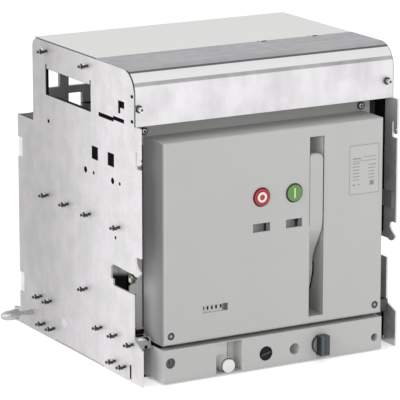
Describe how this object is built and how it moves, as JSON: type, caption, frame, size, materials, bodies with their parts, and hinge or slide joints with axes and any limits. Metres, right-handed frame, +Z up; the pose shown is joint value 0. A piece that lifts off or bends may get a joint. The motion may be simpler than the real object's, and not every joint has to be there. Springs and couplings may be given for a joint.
{
  "type": "withdrawable air switch disconnector in a cradle",
  "caption": "Withdrawable switch disconnector: grey front cover with push buttons and charging handle, in a galvanised sheet steel cradle.",
  "frame": {"origin": "middle of the overall footprint, on the floor", "axes": "+X to the right seen from the front, +Y from the front to the back, +Z up"},
  "size_m": [0.475, 0.42, 0.4014],
  "materials": {
    "galvanised": "satin",
    "hood_steel": "satin",
    "rail_steel": "satin",
    "zinc": "satin",
    "stud_steel": "satin",
    "cover_white": "matt",
    "base_black": "matt",
    "cover_grey": "matt",
    "panel_grey": "matt",
    "housing_dark": "matt",
    "slate": "satin",
    "black": "satin",
    "white": "satin",
    "red": "satin",
    "green": "satin",
    "copper": "satin",
    "label": "satin"
  },
  "bodies": {
    "cradle": {"left_side_plate": "galvanised", "right_side_plate": "galvanised", "hood": "hood_steel", "top_cover": "cover_white", "rear_base": "base_black", "rear_bridge": "base_black", "base_pan": "galvanised", "left_guide_rail": "rail_steel", "right_guide_rail": "rail_steel", "left_rail_latch": "rail_steel", "right_rail_latch": "rail_steel", "locking_pawl": "zinc", "left_earth_bolt": "zinc", "right_earth_bolt": "zinc", "left_plate_studs": "stud_steel", "right_plate_studs": "stud_steel", "hood_screws": "stud_steel", "stop_blocks": "rail_steel", "racking_gearbox": "rail_steel", "lower_panel": "cover_grey", "upper_terminal_1": "copper", "upper_terminal_2": "copper", "upper_terminal_3": "copper", "lower_terminal_1": "copper", "lower_terminal_2": "copper", "lower_terminal_3": "copper"},
    "switch_unit": {"switch_housing": "housing_dark", "arc_chutes": "housing_dark", "side_runners": "rail_steel", "inner_panel": "panel_grey", "inner_panel_screws": "stud_steel", "front_cover": "cover_grey", "handle_well": "cover_grey", "cover_screws": "stud_steel", "rating_plate": "label", "operation_counter": "black", "charge_flag": "label", "contact_flag": "label"},
    "off_button_body": {"off_button": "red"},
    "on_button_body": {"on_button": "green"},
    "handle_body": {"charging_handle": "cover_grey"},
    "knob_body": {"selector_knob": "slate"},
    "dial_body": {"position_dial": "black"},
    "release_body": {"release_button": "white"}
  },
  "joints": [
    {"name": "rack_out", "type": "slide", "parent": "cradle", "child": "switch_unit", "axis": [0, -1, 0], "range_m": [0, 0.06]},
    {"name": "charge_handle_pull", "type": "hinge", "parent": "switch_unit", "child": "handle_body", "pos_m": [0.0612, -0.148, 0.084], "axis": [1, 0, 0], "range_deg": [0, 75], "stiffness_Nm_per_rad": 0.2, "springref_deg": -28.65},
    {"name": "off_press", "type": "slide", "parent": "switch_unit", "child": "off_button_body", "axis": [0, 1, 0], "range_m": [0, 0.004], "stiffness_N_per_m": 1000, "springref_m": -0.002},
    {"name": "on_press", "type": "slide", "parent": "switch_unit", "child": "on_button_body", "axis": [0, 1, 0], "range_m": [0, 0.004], "stiffness_N_per_m": 1000, "springref_m": -0.002},
    {"name": "selector_turn", "type": "hinge", "parent": "cradle", "child": "knob_body", "pos_m": [0.0678, -0.1965, 0.0224], "axis": [0, 1, 0], "range_deg": [0, 90]},
    {"name": "dial_turn", "type": "hinge", "parent": "cradle", "child": "dial_body", "pos_m": [-0.0132, -0.1965, 0.0209], "axis": [0, 1, 0], "range_deg": [0, 90]},
    {"name": "release_press", "type": "slide", "parent": "cradle", "child": "release_body", "axis": [0, 1, 0], "range_m": [0, 0.004], "stiffness_N_per_m": 1000, "springref_m": -0.002}
  ],
  "couplings": [
    {"joint": "dial_turn", "follows": "rack_out", "rad_per_m": 26.1}
  ]
}
